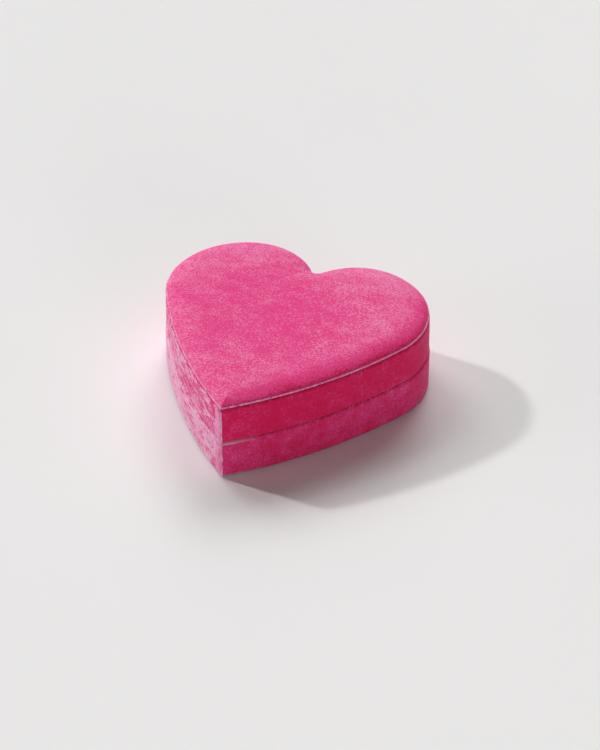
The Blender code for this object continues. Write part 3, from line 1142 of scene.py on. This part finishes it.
class HEARTBOX_OT_inside_pads(bpy.types.Operator):
    """Makes the velvet pad on the floor and the satin pad under the lid"""

    bl_idname = "heartbox.inside_pads"
    bl_label = "Inside pads"

    def execute(self, context):
        sizes, colours, heart = settings(context)
        velvet = finish_named("velvet_over_pads", top_velvet_material, colours)
        satin = finish_named("satin_lining", satin_material, colours)
        for name, node, wadding, body, slot, material, rim in (
            ("inside_floor_pad", "floor_velvet", "floor_wadding", "base", "velvet", velvet, 0.0018),
            ("inside_ceiling_pad", "ceiling_satin", "ceiling_wadding", "lid", "satin", satin, 0.0014),
        ):
            bottom, top = levels(node)
            height = top - bottom - 0.0004
            pad = pad_mesh(name, heart, depth_of(node), height, rim, sizes.inner_shoulder, material)
            relax(pad, 4)
            settle_wadding(pad, rim, height)
            puff_up(pad, sizes.swell)
            relax(pad, 2)
            raise_to(pad, top if body == "lid" else bottom, face_down=body == "lid")
            subdivide(pad)
            fit(pad, body, slot, node, wadding)
        return {"FINISHED"}


class HEARTBOX_OT_boards(bpy.types.Operator):
    """Gives the boards, cards and gummed tapes their fibrous finishes"""

    bl_idname = "heartbox.boards"
    bl_label = "Boards and tapes"

    def execute(self, context):
        _, colours, _ = settings(context)
        board = fibrous_material("greyboard", colours.board, 700.0, 0.9, 0.0002)
        tape = fibrous_material("kraft_tape", colours.tape, 500.0, 0.7, 0.0001)
        slots = {entry["node"]: entry["material_slot"] for entry in frame["record"]["subparts"]}
        for node, piece in frame["nodes"].items():
            material = {"board": board, "tape": tape}.get(slots[node])
            if material:
                for place in piece.material_slots:
                    place.material = material
        return {"FINISHED"}


# Far, even lamps: name, azimuth, elevation and apparent width in degrees, strength and colour.
LAMPS = (
    ("key", 176.0, 36.0, 4.0, 1.20, (1.0, 0.985, 0.97)),
    ("back_left", 144.0, 45.0, 30.0, 1.02, (1.0, 1.0, 1.0)),
    ("back", 100.0, 45.0, 30.0, 1.24, (1.0, 1.0, 1.0)),
    ("back_low", 110.0, 25.0, 28.0, 0.40, (1.0, 0.99, 0.98)),
    ("front", 293.0, 50.0, 30.0, 0.22, (1.0, 0.98, 0.98)),
    ("front_low", 318.0, 9.0, 20.0, 0.62, (1.0, 0.99, 0.99)),
    ("left_low", 214.0, 9.0, 20.0, 0.50, (1.0, 1.0, 1.0)),
)
LAMP_DISTANCE = 3.0
SWEEP_RADIUS = 8.0
SWEEP_CURVE = 1.2
SWEEP_SIDES = 96
WORLD_TONE = (0.04, 0.04, 0.04)

CAMERA_TARGET = Vector((0.0038, 0.0211, 0.0))
CAMERA_AZIMUTH = math.radians(22.3)
CAMERA_ELEVATION = math.radians(37.2)
CAMERA_DISTANCE = 1.439
CAMERA_LENS = 144.0


class HEARTBOX_OT_stage(bpy.types.Operator):
    """Sets up the pale sweep, the lamps, the world and the camera"""

    bl_idname = "heartbox.stage"
    bl_label = "Stage"

    def execute(self, context):
        _, colours, _ = settings(context)
        scene = context.scene
        self.lay_sweep(colours)
        world = bpy.data.worlds.new("studio")
        world.use_nodes = True
        backdrop = world.node_tree.nodes["Background"]
        backdrop.inputs["Color"].default_value = opaque(WORLD_TONE)
        scene.world = world
        for name, azimuth, elevation, width, strength, colour in LAMPS:
            lamp = bpy.data.lights.new(name, "SUN")
            lamp.angle = math.radians(width)
            lamp.energy = strength
            lamp.color = colour
            self.hang(scene, name, lamp, azimuth, elevation)
        camera = bpy.data.cameras.new("camera")
        camera.lens = CAMERA_LENS
        camera.sensor_width = 36.0
        camera.clip_start = 0.05
        camera.clip_end = 50.0
        viewer = bpy.data.objects.new("camera", camera)
        away = Vector(
            (
                math.cos(CAMERA_ELEVATION) * math.sin(CAMERA_AZIMUTH),
                -math.cos(CAMERA_ELEVATION) * math.cos(CAMERA_AZIMUTH),
                math.sin(CAMERA_ELEVATION),
            )
        )
        viewer.location = CAMERA_TARGET + away * CAMERA_DISTANCE
        viewer.rotation_euler = away.to_track_quat("Z", "Y").to_euler()
        scene.collection.objects.link(viewer)
        scene.camera = viewer
        scene.view_settings.view_transform = "Standard"
        return {"FINISHED"}

    def hang(self, scene, name, lamp, azimuth, elevation):
        """Places a lamp round the box and aims it at the box."""
        level = direction(math.radians(azimuth)) * math.cos(math.radians(elevation))
        towards = Vector((level.x, level.y, math.sin(math.radians(elevation))))
        holder = bpy.data.objects.new(name, lamp)
        holder.location = towards * LAMP_DISTANCE
        holder.rotation_euler = towards.to_track_quat("Z", "Y").to_euler()
        holder.visible_camera = False
        scene.collection.objects.link(holder)

    def lay_sweep(self, colours):
        """A round floor whose rim curves up, so that it fills every view."""
        rings = [(0.0, 0.0)]
        rings += [(SWEEP_RADIUS * (step / 10) ** 2, 0.0) for step in range(1, 11)]
        for step in range(1, 13):
            turn = math.radians(75) * step / 12
            height = SWEEP_CURVE * (1 - math.cos(turn))
            rings.append((SWEEP_RADIUS + SWEEP_CURVE * math.sin(turn), height))
        vertices, faces = [(0.0, 0.0, 0.0)], []
        for radius, height in rings[1:]:
            for step in range(SWEEP_SIDES):
                place = direction(2 * math.pi * step / SWEEP_SIDES) * radius
                vertices.append((place.x, place.y, height))
        for step in range(SWEEP_SIDES):
            faces.append((0, 1 + step, 1 + (step + 1) % SWEEP_SIDES))
        for row in range(len(rings) - 2):
            for step in range(SWEEP_SIDES):
                start = 1 + row * SWEEP_SIDES
                here, beside = start + step, start + (step + 1) % SWEEP_SIDES
                faces.append((here, here + SWEEP_SIDES, beside + SWEEP_SIDES, beside))
        sweep = make_piece("sweep", vertices, faces, floor_material(colours))


class HEARTBOX_PT_panel(bpy.types.Panel):
    """Lists the box's building steps, sizes and colours"""

    bl_idname = "HEARTBOX_PT_panel"
    bl_label = "Heart box"
    bl_space_type = "VIEW_3D"
    bl_region_type = "UI"
    bl_category = "Heart box"

    def draw(self, context):
        layout = self.layout
        for operator in STEPS:
            layout.operator(operator.bl_idname)
        for group in (context.scene.heart_box_sizes, context.scene.heart_box_colours):
            box = layout.box()
            for name in type(group).__annotations__:
                box.prop(group, name)


STEPS = (
    HEARTBOX_OT_stage,
    HEARTBOX_OT_lid_pad,
    HEARTBOX_OT_lid_edge,
    HEARTBOX_OT_wall_wraps,
    HEARTBOX_OT_underside,
    HEARTBOX_OT_satin_bands,
    HEARTBOX_OT_inside_pads,
    HEARTBOX_OT_boards,
)
CLASSES = (HeartBoxSizes, HeartBoxColours, *STEPS, HEARTBOX_PT_panel)


def register():
    for cls in CLASSES:
        bpy.utils.register_class(cls)
    bpy.types.Scene.heart_box_sizes = PointerProperty(type=HeartBoxSizes)
    bpy.types.Scene.heart_box_colours = PointerProperty(type=HeartBoxColours)


def unregister():
    del bpy.types.Scene.heart_box_colours
    del bpy.types.Scene.heart_box_sizes
    for cls in reversed(CLASSES):
        bpy.utils.unregister_class(cls)


def main():
    register()
    bpy.ops.heartbox.stage()
    bpy.ops.heartbox.lid_pad()
    bpy.ops.heartbox.lid_edge()
    bpy.ops.heartbox.wall_wraps()
    bpy.ops.heartbox.underside()
    bpy.ops.heartbox.satin_bands()
    bpy.ops.heartbox.inside_pads()
    bpy.ops.heartbox.boards()


if __name__ == "__main__":
    main()
